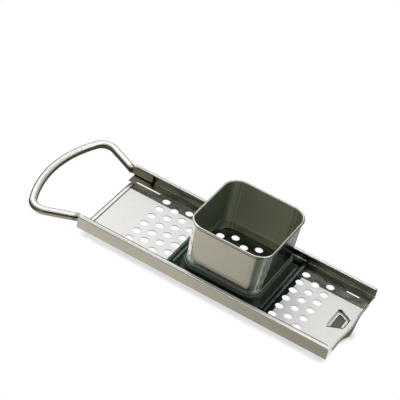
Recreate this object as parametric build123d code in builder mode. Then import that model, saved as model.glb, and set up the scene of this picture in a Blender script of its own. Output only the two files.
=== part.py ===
# Spaetzle maker: a perforated stainless tray with a wire handle, and a hopper that slides along it.
# Millimetres. X runs along the tray, from the handle (-X) to the pot hook (+X). Y is across, Z is up.
# The origin is the middle of the part's footprint, at the height of the pot hook's tip.
import os
from math import atan2, degrees, radians, tan
from build123d import *

# Sheet metal, shared by the tray and the slide
sheet = 0.8
bend_radius = 0.8

# Hole field in the tray's floor: long lines of holes, with short lines half a pitch over between them
hole_radius = 4.0
hole_pitch = 14.0
line_pitch = 13.0
long_line_holes = 6
short_line_holes = 5
long_lines = 8

# Tray: a folded trough whose long sides turn in as lips over a channel
left_margin = 45.5
right_margin = 39.5
tray_width = 107.0
rail_height = 10.1
lip_width = 4.9
foot_drop = 3.0
foot_round = 0.5
fold_radius = 1.2
rail_overhang = 1.8
lip_corner_radius = 4.4

# Middle of the left end, rolled down between two flat corners
left_roll_inset = 2.1
left_roll_width = 5.4
left_roll_drop = 2.0
left_roll_half_width = 38.0

# End flange at the right, bent down, with a hook in its middle that holds the pot's rim
hook_drop = 11.0
hook_bulge = 1.8
hook_half_width = 27.0
flange_half_width = 40.0
flange_bend_radius = 2.3
flange_corner_radius = 2.0

# Pocket pressed into the floor behind the hook, in two steps
pocket_start = 19.4
pocket_length = 14.6
pocket_long_side = 31.0
pocket_short_side = 15.0
pocket_depth = 2.7
pocket_round = 2.2
panel_border = 2.8
panel_depth = 1.0
panel_round = 1.2

# Slots in the floor beside the channels
slot_width = 2.5
slot_offset = 40.9
left_slot_length = 27.5
left_slot_gap = 7.5
right_slot_length = 14.0
right_slot_gap = 11.0

# Wire handle: one bent wire, its ends pressed flat on the inner side and welded under the two lips
wire_radius = 4.0
weld_gap = 0.1
tail_length = 21.7
flat_depth = 3.8
flat_lead = 5.0
neck_length = 1.3
neck_radius = 5.5
limb_angle = 26.0
limb_length = 40.9
handle_projection = 61.0
handle_corner_radius = 13.4
wire_end_round = 0.8

# Slide: a plate held under the lips, with the hopper's stepped foot standing on it
running_gap = 0.3
side_gap = 0.4
plate_left_margin = 13.0
plate_right_margin = 10.0
hopper_from_grid = 7.4
hem_width = 2.2
rib_inset = 5.8
rib_width = 1.6
rib_height = 0.6
rib_length = 72.0
plate_opening_gap = 0.6

# Hopper: a tapered rounded box, open at the top and the bottom
hopper_length = 83.3
hopper_width = 87.6
hopper_corner_radius = 16.0
rim_height = 58.9
bead_radius = 1.1
wall_taper = 1.9
shoulder_height = 10.6
shoulder_width = 3.2
shoulder_round = 1.4

# Length by which a cutting shape runs past the face it cuts
overrun = 2.0

# Places worked out from the sizes above
short_lines = long_lines - 1
grid_half = short_lines * line_pitch
floor_length = left_margin + grid_half * 2 + right_margin
overall_length = wire_radius + handle_projection + rail_overhang + floor_length + hook_bulge
rail_left = wire_radius + handle_projection - overall_length / 2
floor_left = rail_left + rail_overhang
floor_right = floor_left + floor_length
grid_x = floor_left + left_margin + grid_half
floor_top = hook_drop
floor_bottom = floor_top - sheet
foot_bottom = floor_top - foot_drop
roll_start = floor_left + left_roll_inset + left_roll_width
rail_top = floor_top + rail_height
side = tray_width / 2
lip_edge = side - lip_width
lip_underside = rail_top - sheet
fold_edge = side - sheet * 2 - fold_radius

os.makedirs("parts", exist_ok=True)

# Edge along which the floor bends down into the right end flange, bulged in front of the hook
bend_x = floor_right - flange_bend_radius
with BuildLine() as bend_edge:
    lower = Line((bend_x, -flange_half_width), (bend_x, -hook_half_width))
    bulge = Spline(
        lower @ 1, (bend_x + hook_bulge, 0), (bend_x, hook_half_width),
        tangents=((0, 1), (0, 1)),
    )
    Line(bulge @ 1, (bend_x, flange_half_width))

# Right end flange: the bent sheet follows that edge, and its lower border dips into the hook
with BuildPart() as end_flange:
    with BuildSketch(Plane.XZ.offset(flange_half_width)):
        with BuildLine():
            outer_bend = CenterArc((bend_x, floor_top - flange_bend_radius), flange_bend_radius, 0, 90)
            inner_bend = CenterArc(
                (bend_x, floor_top - flange_bend_radius), flange_bend_radius - sheet, 0, 90
            )
            Line(outer_bend @ 1, inner_bend @ 1)
            Polyline(
                inner_bend @ 0, (floor_right - sheet, -overrun), (floor_right, -overrun),
                outer_bend @ 0,
            )
        make_face()
    sweep(path=bend_edge.line)
    with BuildSketch(Plane.YZ.offset(bend_x - overrun)):
        with BuildLine():
            left_run = Polyline(
                (-hook_half_width, foot_bottom), (-flange_half_width, foot_bottom),
                (-flange_half_width, floor_top + overrun), (flange_half_width, floor_top + overrun),
                (flange_half_width, foot_bottom), (hook_half_width, foot_bottom),
            )
            Spline(left_run @ 1, (0, 0), left_run @ 0, tangents=((-1, 0), (-1, 0)))
        make_face()
        tips = vertices().sort_by_distance((-flange_half_width, foot_bottom))[0:1]
        tips += vertices().sort_by_distance((flange_half_width, foot_bottom))[0:1]
        fillet(tips, flange_corner_radius)
    extrude(amount=flange_bend_radius + hook_bulge + overrun * 2, mode=Mode.INTERSECT)

# Tray
with BuildPart() as tray:
    # floor, out to the bent edge in the middle and straight to the end at both sides
    with BuildSketch(Plane.XY.offset(floor_bottom)):
        with BuildLine():
            add(bend_edge.line)
            Polyline(
                (bend_x, flange_half_width), (floor_right, flange_half_width),
                (floor_right, side - sheet), (floor_left, side - sheet),
                (floor_left, left_roll_half_width),
                (roll_start, left_roll_half_width), (roll_start, -left_roll_half_width),
                (floor_left, -left_roll_half_width), (floor_left, sheet - side),
                (floor_right, sheet - side), (floor_right, -flange_half_width), (bend_x, -flange_half_width),
            )
        make_face()
    extrude(amount=sheet)
    add(end_flange.part)
    # middle of the left end, rolled down
    roll_radius = (left_roll_width**2 + left_roll_drop**2) / (left_roll_drop * 2)
    roll_angle = degrees(atan2(left_roll_width, roll_radius - left_roll_drop))
    with BuildSketch(Plane.XZ.offset(-left_roll_half_width)):
        roll_centre = (roll_start, floor_top - roll_radius)
        with BuildLine():
            roll_outside = CenterArc(roll_centre, roll_radius, 90, roll_angle)
            roll_inside = CenterArc(roll_centre, roll_radius - sheet, 90, roll_angle)
            Line(roll_outside @ 0, roll_inside @ 0)
            Line(roll_outside @ 1, roll_inside @ 1)
        make_face()
    extrude(amount=left_roll_half_width * 2)
    # long sides: a folded foot below the floor, a wall, and a lip turned in at the top
    with BuildSketch(Plane.YZ.offset(rail_left)) as rail_section:
        with BuildLine():
            Polyline(
                (side - sheet * 2, foot_bottom), (side, foot_bottom), (side, rail_top),
                (lip_edge, rail_top), (lip_edge, lip_underside), (side - sheet, lip_underside),
                (side - sheet, floor_top), (fold_edge, floor_top), (fold_edge, floor_bottom),
                (side - sheet * 2, floor_bottom), close=True,
            )
        make_face()
        for corner, corner_round in (
            ((side, foot_bottom), foot_round),
            ((side - sheet * 2, foot_bottom), foot_round),
            ((side, rail_top), bend_radius + sheet),
            ((side - sheet, lip_underside), bend_radius),
            ((side - sheet, floor_top), fold_radius),
        ):
            fillet(rail_section.vertices().sort_by_distance(corner)[0], corner_round)
        mirror(about=Plane.YZ)
    extrude(amount=rail_overhang + floor_length)
    # the lips round away towards both ends
    with BuildSketch(Plane.XY.offset(lip_underside - bend_radius)):
        for end, turn in ((floor_right, 1), (rail_left, -1)):
            past_end = end + overrun * turn
            with BuildLine():
                corner_start = (end - lip_corner_radius * turn, lip_edge)
                corner_end = (end, lip_edge + lip_corner_radius)
                Line((past_end, lip_edge), corner_start)
                RadiusArc(corner_start, corner_end, -lip_corner_radius * turn)
                Polyline(corner_end, (past_end, lip_edge + lip_corner_radius), (past_end, lip_edge))
            make_face()
        mirror(about=Plane.XZ)
    extrude(amount=rail_height, mode=Mode.SUBTRACT)
    # pocket behind the hook, pressed down in two steps: first the metal round them, then the hollows
    pocket_left = floor_right - pocket_start
    pocket_steps = (
        (0, pocket_depth, pocket_round),
        (panel_border, pocket_depth + panel_depth, panel_round),
    )
    for grow, mode in ((sheet, Mode.ADD), (0, Mode.SUBTRACT)):
        for border, depth, corner_round in pocket_steps:
            with BuildSketch(Plane.XY.offset(floor_top - depth - grow)):
                with BuildLine():
                    Polyline(
                        (pocket_left, -pocket_long_side / 2),
                        (pocket_left + pocket_length, -pocket_short_side / 2),
                        (pocket_left + pocket_length, pocket_short_side / 2),
                        (pocket_left, pocket_long_side / 2), close=True,
                    )
                make_face()
                if border:
                    offset(amount=-border, kind=Kind.INTERSECTION, mode=Mode.REPLACE)
                fillet(vertices(), corner_round)
                if grow:
                    offset(amount=grow, mode=Mode.REPLACE)
            extrude(amount=depth + grow, mode=mode)
    # holes of the floor, and the slots beside the channels
    with BuildSketch(Plane.XY.offset(floor_bottom)):
        with Locations((grid_x, 0)):
            with GridLocations(line_pitch * 2, hole_pitch, long_lines, long_line_holes):
                Circle(hole_radius)
            with GridLocations(line_pitch * 2, hole_pitch, short_lines, short_line_holes):
                Circle(hole_radius)
        with Locations(
            (floor_left + left_slot_gap + left_slot_length / 2, slot_offset),
            (floor_left + left_slot_gap + left_slot_length / 2, -slot_offset),
        ):
            SlotOverall(left_slot_length, slot_width)
        with Locations(
            (floor_right - right_slot_gap - right_slot_length / 2, slot_offset),
            (floor_right - right_slot_gap - right_slot_length / 2, -slot_offset),
        ):
            SlotOverall(right_slot_length, slot_width)
    extrude(amount=sheet, mode=Mode.SUBTRACT)
tray.part.label = "tray"
export_step(tray.part, "parts/tray.step")

# Wire handle: straight tails in the channels, limbs that spread, and a bowed grip across
tail_y = side - sheet - weld_gap - wire_radius
wire_z = lip_underside - weld_gap - wire_radius
neck_x = rail_left - neck_length
limb_end_x = neck_x - limb_length
limb_end_y = tail_y + limb_length * tan(radians(limb_angle))
grip_x = rail_left - handle_projection
with BuildPart() as wire_handle:
    with BuildLine(Plane.XY.offset(wire_z)) as handle_path:
        far_limb = Polyline((rail_left + tail_length, tail_y), (neck_x, tail_y), (limb_end_x, limb_end_y))
        near_limb = Polyline(
            (limb_end_x, -limb_end_y), (neck_x, -tail_y), (rail_left + tail_length, -tail_y)
        )
        ThreePointArc(far_limb @ 1, (grip_x, 0), near_limb @ 0)
        corners = handle_path.vertices().group_by(Axis.X)
        fillet(corners[0], handle_corner_radius)
        fillet(handle_path.vertices().filter_by(lambda v: abs(v.X - neck_x) < weld_gap), neck_radius)
    with BuildSketch(Plane.YZ.offset(rail_left + tail_length)):
        with Locations((tail_y, wire_z)):
            Circle(wire_radius)
    sweep(path=handle_path.line)
    # each end is pressed flat on the side that faces the other, after a slanted lead
    with BuildSketch(Plane.XY.offset(wire_z - wire_radius)):
        with BuildLine():
            Polyline(
                (rail_left - flat_lead, tail_y - wire_radius),
                (rail_left, tail_y - wire_radius + flat_depth),
                (rail_left + tail_length + overrun, tail_y - wire_radius + flat_depth),
                (rail_left + tail_length + overrun, tail_y - wire_radius - overrun),
                (rail_left - flat_lead, tail_y - wire_radius - overrun), close=True,
            )
        make_face()
        mirror(about=Plane.XZ)
    extrude(amount=wire_radius * 2, mode=Mode.SUBTRACT)
    fillet(wire_handle.faces().sort_by(Axis.X)[-2:].edges(), wire_end_round)
wire_handle.part.label = "wire_handle"
export_step(wire_handle.part, "parts/wire_handle.step")

# Hopper: one section, carried round a path with rounded corners along the middle of its wall's foot
hopper_x = grid_x + hopper_from_grid
plate_bottom = floor_top + running_gap
plate_top = plate_bottom + sheet
wall_top_inset = bead_radius - sheet / 2
foot_inset = wall_top_inset + wall_taper
foot_x = hopper_length / 2 - foot_inset
foot_y = hopper_width / 2 - foot_inset
foot_corner = hopper_corner_radius - foot_inset
shoulder_z = floor_top + shoulder_height - sheet / 2
rim_z = floor_top + rim_height
with BuildPart() as hopper:
    with BuildLine(Plane.XY) as hopper_path:
        Polyline(
            (hopper_x + foot_x, 0), (hopper_x + foot_x, foot_y), (hopper_x - foot_x, foot_y),
            (hopper_x - foot_x, -foot_y), (hopper_x + foot_x, -foot_y), (hopper_x + foot_x, 0),
        )
        fillet(hopper_path.vertices().filter_by(lambda v: abs(v.Y) > sheet), foot_corner)
    with BuildSketch(Plane.XZ) as hopper_section:
        with BuildLine():
            FilletPolyline(
                (hopper_x + foot_x + shoulder_width, plate_top),
                (hopper_x + foot_x + shoulder_width, shoulder_z),
                (hopper_x + foot_x, shoulder_z), (hopper_x + foot_x + wall_taper, rim_z - bead_radius / 2),
                radius=shoulder_round,
            )
        trace(line_width=sheet)
        with Locations((hopper_x + hopper_length / 2, rim_z)):
            Circle(bead_radius)
    sweep(path=hopper_path.wire())
hopper.part.label = "hopper"
export_step(hopper.part, "parts/hopper.step")

# Slide plate: its edges turn up under the lips, and the hopper's foot stands round its opening
plate_half_width = side - sheet - side_gap
turn_up_top = lip_underside - running_gap
inside_foot = shoulder_width - sheet / 2 - plate_opening_gap
plate_left = hopper_x - hopper_length / 2 - plate_left_margin
plate_right = hopper_x + hopper_length / 2 + plate_right_margin
with BuildPart() as slide_plate:
    with BuildSketch(Plane.YZ.offset(plate_left)) as plate_section:
        with BuildLine():
            Polyline(
                (0, plate_bottom), (plate_half_width, plate_bottom), (plate_half_width, turn_up_top),
                (plate_half_width - sheet, turn_up_top), (plate_half_width - sheet, plate_top),
                (0, plate_top), close=True,
            )
        make_face()
        for corner, corner_round in (
            ((plate_half_width, plate_bottom), bend_radius + sheet),
            ((plate_half_width - sheet, plate_top), bend_radius),
        ):
            fillet(plate_section.vertices().sort_by_distance(corner)[0], corner_round)
        mirror(about=Plane.YZ)
    extrude(amount=plate_right - plate_left)
    # folded ends
    hem_length = (plate_half_width - sheet - bend_radius) * 2
    with BuildSketch(Plane.XY.offset(plate_top)):
        with Locations((plate_left + hem_width / 2, 0), (plate_right - hem_width / 2, 0)):
            Rectangle(hem_width, hem_length)
    extrude(amount=sheet)
    # raised ribs, parallel to the ends
    with BuildSketch(Plane.XY.offset(plate_top)):
        with Locations((plate_left + rib_inset, 0), (plate_right - rib_inset, 0)):
            SlotOverall(rib_length, rib_width, rotation=90)
    extrude(amount=rib_height)
    fillet(slide_plate.faces().filter_by(
        lambda f: abs(f.center().Z - plate_top - rib_height) < rib_height / 4).edges(), rib_height / 2)
    # opening inside the hopper's foot
    with BuildSketch(Plane.XY.offset(plate_bottom)):
        with Locations((hopper_x, 0)):
            RectangleRounded(
                (foot_x + inside_foot) * 2, (foot_y + inside_foot) * 2,
                foot_corner + inside_foot,
            )
    extrude(amount=sheet, mode=Mode.SUBTRACT)
slide_plate.part.label = "slide_plate"
export_step(slide_plate.part, "parts/slide_plate.step")
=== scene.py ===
from math import cos, hypot, sin
import bpy
from mathutils import Matrix, Vector


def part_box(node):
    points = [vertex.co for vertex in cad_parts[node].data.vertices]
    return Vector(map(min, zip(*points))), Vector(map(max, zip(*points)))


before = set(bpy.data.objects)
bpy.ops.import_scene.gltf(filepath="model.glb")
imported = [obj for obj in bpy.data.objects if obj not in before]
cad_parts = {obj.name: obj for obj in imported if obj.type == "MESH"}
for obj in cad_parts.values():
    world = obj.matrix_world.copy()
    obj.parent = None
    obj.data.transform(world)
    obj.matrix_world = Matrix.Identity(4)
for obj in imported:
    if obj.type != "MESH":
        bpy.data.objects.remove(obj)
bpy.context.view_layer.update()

# Lengths are in metres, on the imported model's axes: X along the tray, Y across it, Z up.
# A pair of values is either a ramp, over which a zone goes from 0 to 1, or the two limits of a zone.
MM = 0.001
FLOOR_TOP = 11 * MM
RAIL_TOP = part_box("tray")[1][2]
GRID_X = 35.5 * MM
HOPPER_X = sum(corner[0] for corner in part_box("hopper")) / 2
PLATE_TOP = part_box("hopper")[0][2]
WALL_INSIDE = 52.7 * MM

# Widths over which zones fade out
SOFT_EDGE = 0.4 * MM
LINE_EDGE = 0.2 * MM
FINE_EDGE = 0.1 * MM

# Steel: colour of the polished sheet with its brown and green clouds, the satin, and the painted shade of
# its lines, its folds and its dark sides
STEEL = (0.80, 0.80, 0.765, 1)
BROWN_CLOUD_AND_REFLECTION = (0.84, 0.78, 0.68, 1)
GREEN_CLOUD = (0.70, 0.77, 0.69, 1)
SATIN = (0.98, 0.965, 0.95, 1)
SHADE_LINE = (0.10, 0.10, 0.085, 1)
SIDE_SHADE = (0.09, 0.125, 0.10, 1)
GRAIN_SCALE = 2600
GRAIN_STRETCH = 0.04
GRAIN_DETAIL = 2.0
GRAIN_EDGE = (0.3, 0.7)
GRAIN_LOW = 0.97
GRAIN_BUMP = 0.05
GRAIN_DEPTH = 0.02 * MM
CLOUD_SCALE = 45
BROWN_EDGE = (0.50, 0.66)
GREEN_EDGE = (0.50, 0.36)
CLOUD_STRENGTH = 0.48
MARK_SCALE = 260
MARK_DETAIL = 4.0
MARK_EDGE = (0.35, 0.7)
MARK_ROUGH = 0.015
NOISE_DETAIL = 3.0


def link(tree, source, target):
    tree.links.new(source, target)


def maths(tree, operation, first, second):
    """A maths node whose inputs are sockets or numbers."""
    made = tree.nodes.new("ShaderNodeMath")
    made.operation = operation
    for socket, value in zip(made.inputs, (first, second)):
        if isinstance(value, (int, float)):
            socket.default_value = value
        else:
            link(tree, value, socket)
    return made.outputs[0]


def chain(tree, operation, values):
    result = values[0]
    for value in values[1:]:
        result = maths(tree, operation, result, value)
    return result


def product(tree, *factors):
    return chain(tree, "MULTIPLY", factors)


def total(tree, *terms):
    return chain(tree, "ADD", terms)


def largest(tree, *values):
    return chain(tree, "MAXIMUM", values)


def inverse(tree, value):
    return maths(tree, "SUBTRACT", 1.0, value)


def ramp(tree, value, low, high, to_low=0.0, to_high=1.0, smooth=True):
    """Maps a value from one range to another, and holds it outside."""
    made = tree.nodes.new("ShaderNodeMapRange")
    made.interpolation_type = "SMOOTHSTEP" if smooth else "LINEAR"
    made.clamp = True
    link(tree, value, made.inputs["Value"])
    for name, number in (("From Min", low), ("From Max", high), ("To Min", to_low), ("To Max", to_high)):
        made.inputs[name].default_value = number
    return made.outputs["Result"]


def between(tree, value, low, high, edge=SOFT_EDGE):
    """1 where a value lies between two limits, 0 outside them."""
    rise = ramp(tree, value, low - edge / 2, low + edge / 2)
    fall = ramp(tree, value, high + edge / 2, high - edge / 2)
    return product(tree, rise, fall)


def mix_colour(tree, factor, first, second):
    """Mixes two colours, which are sockets or constants."""
    made = tree.nodes.new("ShaderNodeMix")
    made.data_type = "RGBA"
    if isinstance(factor, (int, float)):
        made.inputs["Factor"].default_value = factor
    else:
        link(tree, factor, made.inputs["Factor"])
    for name, value in (("A", first), ("B", second)):
        socket = [s for s in made.inputs if s.name == name and s.type == "RGBA"][0]
        if isinstance(value, tuple):
            socket.default_value = value
        else:
            link(tree, value, socket)
    return [s for s in made.outputs if s.type == "RGBA"][0]


def dot(tree, vector, direction):
    made = tree.nodes.new("ShaderNodeVectorMath")
    made.operation = "DOT_PRODUCT"
    link(tree, vector, made.inputs[0])
    made.inputs[1].default_value = direction
    return made.outputs["Value"]


def toward(tree, vector, direction, edge):
    """1 where a unit vector points close to a direction, 0 away from it."""
    return ramp(tree, dot(tree, vector, Vector(direction).normalized()), *edge)


def noise(tree, vector, scale, detail=NOISE_DETAIL, stretch=None):
    """Noise of a given scale, drawn out along an axis where stretch says so."""
    if stretch:
        mapping = tree.nodes.new("ShaderNodeMapping")
        mapping.inputs["Scale"].default_value = stretch
        link(tree, vector, mapping.inputs["Vector"])
        vector = mapping.outputs["Vector"]
    made = tree.nodes.new("ShaderNodeTexNoise")
    made.inputs["Scale"].default_value = scale
    made.inputs["Detail"].default_value = detail
    link(tree, vector, made.inputs["Vector"])
    return made.outputs["Fac"]


def openness(tree, reach, samples):
    """How open a place is within a given reach: 1 in the open, less beside and under other pieces."""
    made = tree.nodes.new("ShaderNodeAmbientOcclusion")
    made.samples = samples
    made.inputs["Distance"].default_value = reach
    return made.outputs["AO"]


def axes(tree, vector):
    split = tree.nodes.new("ShaderNodeSeparateXYZ")
    link(tree, vector, split.inputs[0])
    return split.outputs


def surface_normal(tree):
    return tree.nodes.new("ShaderNodeNewGeometry").outputs["Normal"]


def add_grain(tree, shader, place, base, grain_axis):
    """Fine lines along one axis, in the colour and as a faint relief. Returns the new colour."""
    stretch = tuple(GRAIN_STRETCH if axis == grain_axis else 1.0 for axis in "XYZ")
    lines = noise(tree, place, GRAIN_SCALE, GRAIN_DETAIL, stretch)
    scaled = tree.nodes.new("ShaderNodeVectorMath")
    scaled.operation = "SCALE"
    link(tree, base, scaled.inputs[0])
    link(tree, ramp(tree, lines, *GRAIN_EDGE, GRAIN_LOW, 1.0, smooth=False), scaled.inputs["Scale"])
    relief = tree.nodes.new("ShaderNodeBump")
    relief.inputs["Strength"].default_value = GRAIN_BUMP
    relief.inputs["Distance"].default_value = GRAIN_DEPTH
    link(tree, lines, relief.inputs["Height"])
    link(tree, relief.outputs["Normal"], shader.inputs["Normal"])
    return scaled.outputs["Vector"]


def steel(name, zones, rough, grain_axis=None):
    """Stainless steel: clouds of colour and polish, zones of finish and of painted light and shade, and a
    grain where it has an axis.
    """
    material = bpy.data.materials.new(name)
    material.use_nodes = True
    tree = material.node_tree
    shader = tree.nodes["Principled BSDF"]
    shader.inputs["Metallic"].default_value = 1.0
    place = tree.nodes.new("ShaderNodeTexCoord").outputs["Object"]
    clouds = noise(tree, place, CLOUD_SCALE)
    marks = noise(tree, place, MARK_SCALE, MARK_DETAIL)
    brown = product(tree, ramp(tree, clouds, *BROWN_EDGE), CLOUD_STRENGTH)
    green = product(tree, ramp(tree, clouds, *GREEN_EDGE), CLOUD_STRENGTH)
    base = mix_colour(tree, green, mix_colour(tree, brown, STEEL, BROWN_CLOUD_AND_REFLECTION), GREEN_CLOUD)
    polish = ramp(tree, marks, *MARK_EDGE, rough - MARK_ROUGH, rough + MARK_ROUGH, smooth=False)
    base, polish = zones(tree, place, base, polish)
    if grain_axis:
        base = add_grain(tree, shader, place, base, grain_axis)
    link(tree, base, shader.inputs["Base Color"])
    link(tree, polish, shader.inputs["Roughness"])
    return material


# Pocket behind the hook: its outline at the floor, as the X of its sides and half their lengths
POCKET_LEFT = 146.6 * MM
POCKET_RIGHT = 161.2 * MM
POCKET_LONG = 15.5 * MM
POCKET_SHORT = 7.5 * MM

# Distances outside that outline: how far the pocket reaches, and the lines of shade at its right side
# and at its slanted side on the front half
POCKET_NEAR = (1.9 * MM, 1.7 * MM)
FRONT_HALF = (0.0, -1 * MM)
SHORT_LINE = (-0.1 * MM, 1.0 * MM)
SHORT_LINE_END = (0.0, -0.8 * MM)
SLANTED_LINE = (-0.1 * MM, 1.5 * MM)
SLANTED_LINE_LEFT = (-0.4 * MM, -1.6 * MM)
SLANTED_LINE_RIGHT = (0.8 * MM, 0.2 * MM)

# Depths below the floor: its face, the pocket's walls and step, and the panel with the walls round it
FACE_EDGE = (0.1 * MM, 0.2 * MM)
POCKET_STEP = 2.7 * MM
POCKET_WALL = (0.5 * MM, POCKET_STEP - 0.1 * MM)
STEP_FOOT = (POCKET_STEP + 0.2 * MM, POCKET_STEP + 0.1 * MM)
PANEL_WALL = (POCKET_STEP + 0.15 * MM, POCKET_STEP + 0.85 * MM)
PANEL_EDGE = (POCKET_STEP + 0.85 * MM, POCKET_STEP + 0.95 * MM)


def pocket_distances(tree, along, aside):
    """Distances outside the pocket's slanted sides, its long end and its short end, negative inside."""
    slant = (POCKET_LONG - POCKET_SHORT) / (POCKET_RIGHT - POCKET_LEFT)
    from_left = maths(tree, "SUBTRACT", along, POCKET_LEFT)
    reach = maths(tree, "SUBTRACT", POCKET_LONG, product(tree, from_left, slant))
    over_side = product(tree, maths(tree, "SUBTRACT", aside, reach), 1 / hypot(1, slant))
    over_left = maths(tree, "SUBTRACT", POCKET_LEFT, along)
    over_right = maths(tree, "SUBTRACT", along, POCKET_RIGHT)
    return over_side, over_left, over_right


def pocket_masks(tree, along, across, aside, depth, floor_face):
    """The pocket's painted shade on its lines and walls, its satin step, and its dull panel."""
    over_side, over_left, over_right = pocket_distances(tree, along, aside)
    near = ramp(tree, largest(tree, over_side, over_left, over_right), *POCKET_NEAR)
    short_line = product(
        tree, between(tree, over_right, *SHORT_LINE, LINE_EDGE), ramp(tree, over_side, *SHORT_LINE_END),
    )
    slanted_line = product(
        tree, ramp(tree, across, *FRONT_HALF), between(tree, over_side, *SLANTED_LINE, LINE_EDGE),
        ramp(tree, over_left, *SLANTED_LINE_LEFT), ramp(tree, over_right, *SLANTED_LINE_RIGHT),
    )
    outline = product(tree, largest(tree, short_line, slanted_line), floor_face, near)
    walls = product(tree, near, between(tree, depth, *POCKET_WALL, LINE_EDGE))
    panel_walls = product(tree, near, between(tree, depth, *PANEL_WALL, FINE_EDGE))
    step = product(
        tree, near, ramp(tree, depth, *FACE_EDGE), ramp(tree, depth, *STEP_FOOT), inverse(tree, walls),
    )
    panel = product(tree, near, ramp(tree, depth, *PANEL_EDGE))
    return largest(tree, outline, walls, panel_walls), step, panel


# Lines of shade: on the lips, beyond the wire's ends, and across the rolled left end
LIP_FACE = (RAIL_TOP - 0.7 * MM, RAIL_TOP - 0.3 * MM)
LIP_LINE = (48.4 * MM, 49.5 * MM)
BEND_LINE = (51.7 * MM, 52.4 * MM)
BEND_LINE_FADE = (110 * MM, 60 * MM)
BEND_LINE_STRENGTH = 0.6
BEND_LINE_EDGE = 0.3 * MM
TAIL_LINE = (-81.3 * MM, -79.4 * MM)
TAIL_LINE_ASIDE = (44 * MM, 52.9 * MM)
TAIL_LINE_TOP = (RAIL_TOP - 0.7 * MM, RAIL_TOP - 0.9 * MM)
TAIL_LINE_EDGE = 0.3 * MM
ROLL_HALF = (38 * MM, 37.6 * MM)
ROLL_LINE = (-94.15 * MM, -92.85 * MM)
END_LINE = (-98.1 * MM, -98.5 * MM)


def tray_lines(tree, along, aside, height, lip):
    """Lines of shade on the tray, and the one along the lips' inner edges, which has its own colour."""
    lip_line = product(tree, lip, between(tree, aside, *LIP_LINE, LINE_EDGE))
    bend_line = product(
        tree, lip, between(tree, aside, *BEND_LINE, BEND_LINE_EDGE), ramp(tree, along, *BEND_LINE_FADE),
        BEND_LINE_STRENGTH,
    )
    tail_line = product(
        tree, between(tree, along, *TAIL_LINE, TAIL_LINE_EDGE), between(tree, aside, *TAIL_LINE_ASIDE),
        ramp(tree, height, *TAIL_LINE_TOP),
    )
    middle = ramp(tree, aside, *ROLL_HALF)
    roll_line = product(tree, middle, between(tree, along, *ROLL_LINE, LINE_EDGE))
    end_line = product(tree, middle, ramp(tree, along, *END_LINE))
    return largest(tree, bend_line, tail_line, roll_line, end_line), lip_line


# Back of the channel: a painted reflection as green and brown mottle, and the fold at the floor's edge with
# painted shade and a painted highlight line
FIELD_BACK = 28.3 * MM
REFLECTION_GREEN = (0.34, 0.425, 0.37, 1)
REFLECTION_BROWN = (0.78, 0.72, 0.62, 1)
REFLECTION_STRENGTH = 0.75
MOTTLE_SCALE = 90
MOTTLE_STRETCH = (0.5, 1.0, 1.0)
MOTTLE_EDGE = (0.46, 0.60)
MOTTLE_LEFT = (-15 * MM, -60 * MM)
MOTTLE_LEFT_MORE = 0.08
FOLD_TOP = (FLOOR_TOP + 1.6 * MM, FLOOR_TOP + 1.2 * MM)
FOLD_SHADE = (52.1 * MM, 52.3 * MM)
FOLD_SHADE_STRENGTH = 0.8
FOLD_LINE = (51.5 * MM, 52.1 * MM)


def back_channel(tree, place, along, across, aside, height, lip, base):
    """Paints a mottled reflection on the channel's back half, and painted shade and a highlight at the
    fold. Returns the new colour and the fold's highlight line.
    """
    inner_back = product(tree, between(tree, across, FIELD_BACK, WALL_INSIDE), inverse(tree, lip))
    # painted reflection: the back half of the channel is mottled green and brown
    reflection_noise = noise(tree, place, MOTTLE_SCALE, stretch=MOTTLE_STRETCH)
    reflection_noise = total(tree, reflection_noise, ramp(tree, along, *MOTTLE_LEFT, 0.0, MOTTLE_LEFT_MORE))
    reflection_mottle = mix_colour(tree, ramp(tree, reflection_noise, *MOTTLE_EDGE), REFLECTION_GREEN, REFLECTION_BROWN)
    base = mix_colour(tree, product(tree, inner_back, REFLECTION_STRENGTH), base, reflection_mottle)
    # painted shade just inside the fold, and a painted highlight line along it
    fold = product(tree, inner_back, ramp(tree, height, *FOLD_TOP))
    fold_shade = product(tree, fold, ramp(tree, aside, *FOLD_SHADE), FOLD_SHADE_STRENGTH)
    fold_highlight = product(tree, fold, between(tree, aside, *FOLD_LINE, LINE_EDGE))
    base = mix_colour(tree, fold_shade, base, SIDE_SHADE)
    return mix_colour(tree, fold_highlight, base, SATIN), fold_highlight


# Finish of the tray's sheet: satin on its hole field and its lips, polished in its channels, with painted
# shade under and beside the slide, on the pocket's panel and on the lips' edges, and the lips' satin
# painted slightly darker at the left
SATIN_LOW = (0.90, 0.885, 0.87, 1)
LIP_SATIN_SHADE = (0.93, 0.925, 0.90, 1)
LIP_SHADE = (0.030, 0.030, 0.025, 1)
LIP_CHANGE = (-60 * MM, 90 * MM)
SHELTER_SHADE_COLOUR = (0.26, 0.29, 0.27, 1)
PANEL_SHADE = (0.17, 0.17, 0.13, 1)
SATIN_ROUGH = 0.42
CHANNEL_ROUGH = 0.15
NEAR_FLOOR = (-1.5 * MM, -0.5 * MM)
BEND = (163.0 * MM, 163.4 * MM)
BEND_DROP = 1.2 * MM
FRONT_EDGE = (FIELD_BACK + SOFT_EDGE, FIELD_BACK - SOFT_EDGE)
CHANNEL_EDGE = (WALL_INSIDE + 0.2 * MM, WALL_INSIDE)
CORNER_FOOT = (RAIL_TOP - 1.5 * MM, RAIL_TOP - 1.3 * MM)
CORNER_ASIDE = (52.3 * MM, 52.5 * MM)
SHELTER_REACH = 60 * MM
SHELTER_SAMPLES = 32
SHELTER_SPAN = (-8.5 * MM, 99.0 * MM)
SHELTER_EDGE = (0.80, 0.72)
DEEP_SHELTER = (0.60, 0.50)
DEEP_ASIDE = (50 * MM, 49 * MM)
SPECKLE_SCALE = 420
SPECKLE_DETAIL = 2.0
SPECKLE_EDGE = (0.3, 0.7)
SPECKLE_STRENGTH = 0.5


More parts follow.
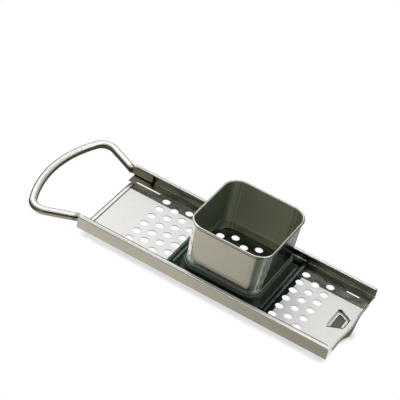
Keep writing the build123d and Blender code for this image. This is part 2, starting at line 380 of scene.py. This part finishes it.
def tray_zones(tree, place, base, polish):
    """The tray: satin hole field and lips, a painted highlight at the fold, painted shade lines at its
    edges, painted shade under the slide and in its dull pocket, and a painted reflection along the back.
    """
    along, across, height = axes(tree, place)
    aside = maths(tree, "ABSOLUTE", across, 0.0)
    depth = maths(tree, "SUBTRACT", FLOOR_TOP, height)
    near_floor = ramp(tree, depth, *NEAR_FLOOR)
    bend_drop = product(tree, ramp(tree, along, *BEND), BEND_DROP)
    top_face = inverse(tree, ramp(tree, maths(tree, "SUBTRACT", depth, bend_drop), *FACE_EDGE))
    floor_face = product(tree, near_floor, top_face)
    front = ramp(tree, across, *FRONT_EDGE)
    # under and beside the slide the floor mirrors it, so its satin gives way there
    open_sky = openness(tree, SHELTER_REACH, SHELTER_SAMPLES)
    beside = product(tree, between(tree, along, *SHELTER_SPAN), ramp(tree, open_sky, *SHELTER_EDGE))
    sheltered = largest(tree, beside, ramp(tree, open_sky, *DEEP_SHELTER))
    field = product(tree, floor_face, front, inverse(tree, sheltered))
    channel = product(tree, near_floor, inverse(tree, front), ramp(tree, aside, *CHANNEL_EDGE))
    lip = ramp(tree, height, *LIP_FACE)
    corner = product(tree, ramp(tree, height, *CORNER_FOOT), ramp(tree, aside, *CORNER_ASIDE))
    lines, lip_line = tray_lines(tree, along, aside, height, lip)
    pocket_shade, step, panel = pocket_masks(tree, along, across, aside, depth, floor_face)
    satin = largest(tree, field, lip, corner, step)
    speckle = noise(tree, place, SPECKLE_SCALE, SPECKLE_DETAIL)
    speckle = ramp(tree, speckle, *SPECKLE_EDGE, 0.0, SPECKLE_STRENGTH, smooth=False)
    rightward = ramp(tree, along, *LIP_CHANGE)
    base, fold_highlight = back_channel(tree, place, along, across, aside, height, lip, base)
    # painted shade and reflection: the sheltered floor under and beside the slide is painted dark
    shelter_shade = product(tree, sheltered, floor_face, ramp(tree, aside, *DEEP_ASIDE))
    base = mix_colour(tree, shelter_shade, base, SHELTER_SHADE_COLOUR)
    base = mix_colour(tree, satin, base, mix_colour(tree, speckle, SATIN, SATIN_LOW))
    # painted shade: the lips' satin is painted slightly darker towards the left end, and below, their inner
    # edge line darker towards the right
    base = mix_colour(tree, lip, base, mix_colour(tree, rightward, LIP_SATIN_SHADE, SATIN))
    base = mix_colour(tree, lip_line, base, mix_colour(tree, rightward, SHADE_LINE, LIP_SHADE))
    # painted shade: the pocket's panel, at the bottom of the recess, is painted dark
    base = mix_colour(tree, panel, base, PANEL_SHADE)
    # painted shade: the tray's lines of shade and the pocket's lines and walls
    base = mix_colour(tree, largest(tree, lines, pocket_shade), base, SHADE_LINE)
    satin_rough = product(tree, largest(tree, satin, panel), SATIN_ROUGH)
    channel_rough = product(tree, total(tree, channel, fold_highlight), CHANNEL_ROUGH)
    return base, total(tree, polish, satin_rough, channel_rough)


# Wire handle: a painted highlight on the crest between painted shade on the flanks and underside, and tails
# tinted brown as a painted reflection
WIRE_HIGHLIGHT = (0.98, 0.97, 0.95, 1)
WIRE_FLANK_SHADE = (0.30, 0.32, 0.29, 1)
WIRE_OUTER_SHADE = (0.20, 0.21, 0.19, 1)
WIRE_UNDERSIDE_SHADE = (0.52, 0.51, 0.46, 1)
HANDLE_EDGE = (-104 * MM, -106 * MM)
FLANK_EDGE = (0.05, 0.30)
CREST_EDGE = (0.58, 0.66)
CREST_ROUGH = 0.33
OUTWARD = (-0.7, 0.7, 0.0)
OUTER_EDGE = (0.10, 0.40)
LEAD = (-108 * MM, -103.5 * MM)
LEAD_FADE = 2 * MM
LEAD_STRENGTH = 0.5


def wire_zones(tree, place, base, polish):
    """The wire: a satin crest with a painted highlight between flanks of painted shade, and tails with a
    painted brown reflection behind painted shade at the lead.
    """
    along = axes(tree, place)[0]
    normal = surface_normal(tree)
    upward = axes(tree, normal)[2]
    handle = ramp(tree, along, *HANDLE_EDGE)
    outer = ramp(tree, dot(tree, normal, OUTWARD), *OUTER_EDGE)
    flank_shade = product(tree, ramp(tree, upward, *FLANK_EDGE), handle)
    crest_highlight = product(tree, ramp(tree, upward, *CREST_EDGE), handle, inverse(tree, outer))
    lead_shade = product(tree, between(tree, along, *LEAD, LEAD_FADE), LEAD_STRENGTH)
    # painted reflection: the tails under the lips are tinted brown
    base = mix_colour(tree, inverse(tree, handle), base, BROWN_CLOUD_AND_REFLECTION)
    # painted shade: the handle's underside a warm mid tone, its flanks darker, most on the outer side
    base = mix_colour(tree, handle, base, WIRE_UNDERSIDE_SHADE)
    base = mix_colour(tree, flank_shade, base, mix_colour(tree, outer, WIRE_FLANK_SHADE, WIRE_OUTER_SHADE))
    # painted highlight on the crest, and painted shade at the lead where the wire enters the rail
    base = mix_colour(tree, crest_highlight, base, WIRE_HIGHLIGHT)
    base = mix_colour(tree, lead_shade, base, SHADE_LINE)
    return base, total(tree, polish, product(tree, crest_highlight, CREST_ROUGH))


# Hopper: heights are above the floor, and the right side's shade goes by steps as its normal turns to X
FOOT = (20 * MM, 7 * MM)
FOOT_REFLECTION_TINT = (0.90, 0.97, 0.88, 1)
FOOT_DULL = (18 * MM, 12 * MM)
FOOT_ROUGH = 0.36
FLANGE = (12.2 * MM, 11.0 * MM)
FLANGE_SHADE = (0.05, 0.072, 0.058, 1)
UNDER_RIM = (56.0 * MM, 57.3 * MM)
UNDER_RIM_EDGE = 0.3 * MM
UNDER_RIM_STRENGTH = 0.75
RIGHT_STEPS = (((0.24, 0.42), 0.75), ((0.50, 0.66), -0.20), ((0.74, 0.86), 0.38))
RIGHT_BACK = (0.34, 0.05)
INSIDE_EDGE = (1 * MM, -1 * MM)
INSIDE_LIT_TONE = (0.92, 0.89, 0.77, 1)
INSIDE_SHADE = (0.20, 0.29, 0.21, 1)
INSIDE_ROUGH = 0.30
STREAK_SCALE = 6.0
STREAK_EDGE = (0.40, 0.60)
STREAK_STRENGTH = 0.45
LEFT_WALL = (0.45, 0.95)
LEFT_WALL_STRENGTH = 0.85


def hopper_zones(tree, place, base, polish):
    """The hopper: painted shade on its foot, its right side and under its rim, a painted green reflection
    above the foot, and a dull inside with painted tones.
    """
    along, across, height = axes(tree, place)
    above_floor = maths(tree, "SUBTRACT", height, FLOOR_TOP)
    from_centre = maths(tree, "SUBTRACT", along, HOPPER_X)
    normal = surface_normal(tree)
    facing = axes(tree, normal)
    outward = total(tree, product(tree, facing[0], from_centre), product(tree, facing[1], across))
    inside = ramp(tree, outward, *INSIDE_EDGE)
    # painted shade: the right side is darker, by steps as its normal turns to X
    steps = [product(tree, ramp(tree, facing[0], *edge), strength) for edge, strength in RIGHT_STEPS]
    right = product(tree, total(tree, *steps), ramp(tree, facing[1], *RIGHT_BACK))
    base = mix_colour(tree, right, base, SIDE_SHADE)
    # painted reflection: a green tint above the foot; below it, painted shade on the flange
    base = mix_colour(tree, ramp(tree, above_floor, *FOOT), base, FOOT_REFLECTION_TINT)
    base = mix_colour(tree, ramp(tree, above_floor, *FLANGE), base, FLANGE_SHADE)
    # painted shade: a dark line under the rim
    under_rim = between(tree, above_floor, *UNDER_RIM, UNDER_RIM_EDGE)
    base = mix_colour(tree, product(tree, under_rim, UNDER_RIM_STRENGTH), base, SHADE_LINE)
    # inside, the steel is painted a lighter, warmer tone, painted reflection streaks run down the corners,
    # and painted shade makes the left wall darker than the back one
    reflection_streaks = product(tree, ramp(tree, noise(tree, normal, STREAK_SCALE), *STREAK_EDGE), STREAK_STRENGTH)
    left_wall = product(tree, ramp(tree, facing[0], *LEFT_WALL), LEFT_WALL_STRENGTH)
    inside_tones = mix_colour(tree, largest(tree, left_wall, reflection_streaks), INSIDE_LIT_TONE, INSIDE_SHADE)
    base = mix_colour(tree, inside, base, inside_tones)
    foot_rough = product(tree, ramp(tree, above_floor, *FOOT_DULL), FOOT_ROUGH)
    return base, total(tree, polish, product(tree, inside, INSIDE_ROUGH), foot_rough)


# Slide plate: its painted shade, and heights of its raised parts and of its turned-up sides
PLATE_SHADE = (0.36, 0.40, 0.375, 1)
PLATE_SHADE_STRENGTH = 0.7
RAISED = (PLATE_TOP + 0.15 * MM, PLATE_TOP + 0.3 * MM)
RAISED_ROUGH = 0.16
TURNED_UP = (PLATE_TOP + 0.9 * MM, PLATE_TOP + 1.2 * MM)
BACK_HALF = (0.0, 1 * MM)


def plate_zones(tree, place, base, polish):
    """The slide plate: painted darker as a whole, ribs and folded ends duller than its mirror face, and
    painted shade on its back side.
    """
    _, across, height = axes(tree, place)
    raised = ramp(tree, height, *RAISED)
    turned_up = product(tree, ramp(tree, height, *TURNED_UP), ramp(tree, across, *BACK_HALF))
    # painted shade and reflection: the whole plate is darker, and its back turned-up side darker still
    base = mix_colour(tree, PLATE_SHADE_STRENGTH, base, PLATE_SHADE)
    base = mix_colour(tree, turned_up, base, SHADE_LINE)
    return base, total(tree, polish, product(tree, raised, RAISED_ROUGH))


# Studio: a bright ring overhead with a plain middle, a bright wall low at the back left, a dim room
# round them, and dark patches in the directions that the flat faces mirror
WHITE = (1, 1, 1, 1)
OVERHEAD_COLOUR = (2.6, 2.6, 2.6, 1)
OVERHEAD_EDGE = (0.64, 0.72)
OVERHEAD_FRONT = (-0.30, -0.10)
ZENITH_COLOUR = (0.85, 0.85, 0.85, 1)
ZENITH_EDGE = (0.84, 0.90)
ROOM_LIGHT = (0.34, 0.33, 0.27, 1)
ROOM_BROWN = (0.27, 0.25, 0.19, 1)
ROOM_SCALE = 3.2
ROOM_DETAIL = 2.0
ROOM_EDGE = (0.42, 0.60)
BACK_LEFT_COLOUR = (1.15, 1.15, 1.15, 1)
BACK_LEFT = ((-0.75, 0.60, 0.20), (0.83, 0.91))
HORIZON_EDGE = (0.0, 0.05)
FRONT_LEFT_COLOUR = (0.165, 0.17, 0.135, 1)
FRONT_LEFT = ((-0.2833, -0.7303, 0.6216), (0.86, 0.96))
DARK_COLOUR = (0.030, 0.045, 0.038, 1)
DARK_PATCHES = (
    ((-0.2833, 0.7303, 0.6216), (0.962, 0.988)),
    ((0.2833, 0.7303, 0.6216), (0.935, 0.975)),
    ((0.50, -0.70, 0.45), (0.84, 0.95)),
)

# Studio world: white to the eye, and its own light and dark to a mirror
world = bpy.data.worlds.new("studio")
bpy.context.scene.world = world
world.use_nodes = True
sky = world.node_tree
sky.nodes.clear()
direction = sky.nodes.new("ShaderNodeTexCoord").outputs["Generated"]
_, backward, level = axes(sky, direction)
patches = noise(sky, direction, ROOM_SCALE, ROOM_DETAIL)
studio = mix_colour(sky, ramp(sky, patches, *ROOM_EDGE), ROOM_LIGHT, ROOM_BROWN)
studio = mix_colour(sky, toward(sky, direction, *FRONT_LEFT), studio, FRONT_LEFT_COLOUR)
back_left = product(sky, toward(sky, direction, *BACK_LEFT), ramp(sky, level, *HORIZON_EDGE))
studio = mix_colour(sky, back_left, studio, BACK_LEFT_COLOUR)
overhead = product(sky, ramp(sky, level, *OVERHEAD_EDGE), ramp(sky, backward, *OVERHEAD_FRONT))
studio = mix_colour(sky, overhead, studio, OVERHEAD_COLOUR)
studio = mix_colour(sky, ramp(sky, level, *ZENITH_EDGE), studio, ZENITH_COLOUR)
dark = largest(sky, *[toward(sky, direction, *patch) for patch in DARK_PATCHES])
studio = mix_colour(sky, dark, studio, DARK_COLOUR)
camera_ray = sky.nodes.new("ShaderNodeLightPath").outputs["Is Camera Ray"]
background = sky.nodes.new("ShaderNodeBackground")
link(sky, mix_colour(sky, camera_ray, studio, WHITE), background.inputs["Color"])
world_output = sky.nodes.new("ShaderNodeOutputWorld")
link(sky, background.outputs["Background"], world_output.inputs["Surface"])

# Table: its size, its soft shadow, and the colours and places of what mirrors see of it
TABLE_HALF = 1.6
TABLE_TOP = -0.4 * MM
TABLE_COLOUR = (0.8, 0.8, 0.79, 1)
SHADOW_REACH = 13 * MM
SHADOW_SAMPLES = 16
SHADOW_EDGE = (0.60, 0.78)
SHADOW_LEVEL = 0.58
UNDER_FRONT = (-45 * MM, -36 * MM)
UNDER_BACK = (66 * MM, 50 * MM)
UNDER_LEFT = (-106 * MM, -96 * MM)
UNDER_RIGHT = (172 * MM, 160 * MM)
LOOP_FRONT = (-36 * MM, -26 * MM)
LOOP_RIGHT = (-98 * MM, -103 * MM)
TABLE_LEFT_COLOUR = (0.58, 0.53, 0.46, 1)
TABLE_MIDDLE_COLOUR = (0.50, 0.475, 0.405, 1)
TABLE_RIGHT_COLOUR = (0.32, 0.305, 0.255, 1)
TABLE_FAR_COLOUR = (0.13, 0.13, 0.10, 1)
TABLE_BACK_COLOUR = (0.62, 0.62, 0.58, 1)
LEFT_TO_MIDDLE = (-110 * MM, -10 * MM)
MIDDLE_TO_RIGHT = (-10 * MM, 130 * MM)
STRIP_BACK = (-50 * MM, -54 * MM)
STRIP_LEFT = (-165 * MM, -145 * MM)
STRIP_RIGHT = (185 * MM, 165 * MM)
BACK_STRIP_FRONT = (55 * MM, 70 * MM)
BACK_STRIP_LEFT = (0.0, 40 * MM)

# Table: white with a tight soft shadow to the eye, and a warm floor that darkens to the right in mirrors
table_mesh = bpy.data.meshes.new("table")
table_mesh.from_pydata(
    [(x * TABLE_HALF, y * TABLE_HALF, TABLE_TOP) for x, y in ((-1, -1), (1, -1), (1, 1), (-1, 1))],
    [], [(0, 1, 2, 3)],
)
table = bpy.data.objects.new("table", table_mesh)
bpy.context.scene.collection.objects.link(table)
table_material = bpy.data.materials.new("pale_table")
table_material.use_nodes = True
tree = table_material.node_tree
tree.nodes.clear()
along, across, _ = axes(tree, tree.nodes.new("ShaderNodeTexCoord").outputs["Object"])
# what the camera sees: shadow outside the tray, white under it and inside the handle's loop
shadow = ramp(
    tree, openness(tree, SHADOW_REACH, SHADOW_SAMPLES), *SHADOW_EDGE, SHADOW_LEVEL, 1.0, smooth=False,
)
under_tray = product(
    tree, ramp(tree, across, *UNDER_FRONT), ramp(tree, across, *UNDER_BACK),
    ramp(tree, along, *UNDER_LEFT), ramp(tree, along, *UNDER_RIGHT),
)
in_loop = product(tree, ramp(tree, across, *LOOP_FRONT), ramp(tree, along, *LOOP_RIGHT))
seen_level = largest(tree, shadow, under_tray, in_loop)
seen = tree.nodes.new("ShaderNodeCombineColor")
for socket in seen.inputs[:3]:
    link(tree, seen_level, socket)
# what mirrors see
mirrored = mix_colour(
    tree, ramp(tree, along, *LEFT_TO_MIDDLE, smooth=False), TABLE_LEFT_COLOUR, TABLE_MIDDLE_COLOUR,
)
mirrored = mix_colour(tree, ramp(tree, along, *MIDDLE_TO_RIGHT, smooth=False), mirrored, TABLE_RIGHT_COLOUR)
front_strip = product(
    tree, ramp(tree, across, *STRIP_BACK), ramp(tree, along, *STRIP_LEFT), ramp(tree, along, *STRIP_RIGHT),
)
mirrored = mix_colour(tree, front_strip, TABLE_FAR_COLOUR, mirrored)
back_strip = product(tree, ramp(tree, across, *BACK_STRIP_FRONT), ramp(tree, along, *BACK_STRIP_LEFT))
mirrored = mix_colour(tree, back_strip, mirrored, TABLE_BACK_COLOUR)
rays = tree.nodes.new("ShaderNodeLightPath").outputs
glow = tree.nodes.new("ShaderNodeEmission")
link(tree, mix_colour(tree, rays["Is Camera Ray"], mirrored, seen.outputs[0]), glow.inputs["Color"])
matt = tree.nodes.new("ShaderNodeBsdfDiffuse")
matt.inputs["Color"].default_value = TABLE_COLOUR
either = tree.nodes.new("ShaderNodeMixShader")
glowing = largest(tree, rays["Is Camera Ray"], rays["Is Glossy Ray"], rays["Is Transmission Ray"])
link(tree, glowing, either.inputs[0])
link(tree, matt.outputs[0], either.inputs[1])
link(tree, glow.outputs[0], either.inputs[2])
link(tree, either.outputs[0], tree.nodes.new("ShaderNodeOutputMaterial").inputs["Surface"])
table_mesh.materials.append(table_material)

# Materials of the imported nodes: their zones of finish and of painted light and shade, and the roughness
# and grain of the steel between them
looks = {
    "tray": steel("tray_polish", tray_zones, rough=0.05, grain_axis="X"),
    "wire_handle": steel("wire_polish", wire_zones, rough=0.17),
    "hopper": steel("hopper_satin", hopper_zones, rough=0.17, grain_axis="Z"),
    "slide_plate": steel("slide_polish", plate_zones, rough=0.06, grain_axis="Y"),
}
for name, look in looks.items():
    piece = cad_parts[name]
    piece.data.materials.clear()
    piece.data.materials.append(look)

# The photograph's camera, as fitted to the holes: angles in radians, focal length in pixels
VIEW_AZIMUTH = 0.370119
VIEW_ELEVATION = 0.670917
VIEW_ROLL = 0.240411
VIEW_PAN = (-28.0646 * MM, 58.6106 * MM)
VIEW_DISTANCE = 1693.347 * MM
FOCAL_PIXELS = 1799.687
IMAGE_PIXELS = 400
SENSOR_WIDTH = 36
CLIP_END = 20
back = Vector((
    sin(VIEW_AZIMUTH) * cos(VIEW_ELEVATION), -cos(VIEW_AZIMUTH) * cos(VIEW_ELEVATION), sin(VIEW_ELEVATION),
))
level_right = Vector((cos(VIEW_AZIMUTH), sin(VIEW_AZIMUTH), 0))
level_up = back.cross(level_right)
right = cos(VIEW_ROLL) * level_right + sin(VIEW_ROLL) * level_up
up = -sin(VIEW_ROLL) * level_right + cos(VIEW_ROLL) * level_up
lens = bpy.data.cameras.new("camera")
lens.sensor_width = SENSOR_WIDTH
lens.lens = FOCAL_PIXELS / IMAGE_PIXELS * SENSOR_WIDTH
lens.clip_end = CLIP_END
camera = bpy.data.objects.new("camera", lens)
bpy.context.scene.collection.objects.link(camera)
turn = Matrix((right, up, back)).transposed()
eye = Vector((GRID_X, 0, FLOOR_TOP)) + turn @ Vector((*VIEW_PAN, VIEW_DISTANCE))
camera.matrix_world = Matrix.Translation(eye) @ turn.to_4x4()
bpy.context.scene.camera = camera
bpy.context.scene.view_settings.view_transform = "Standard"
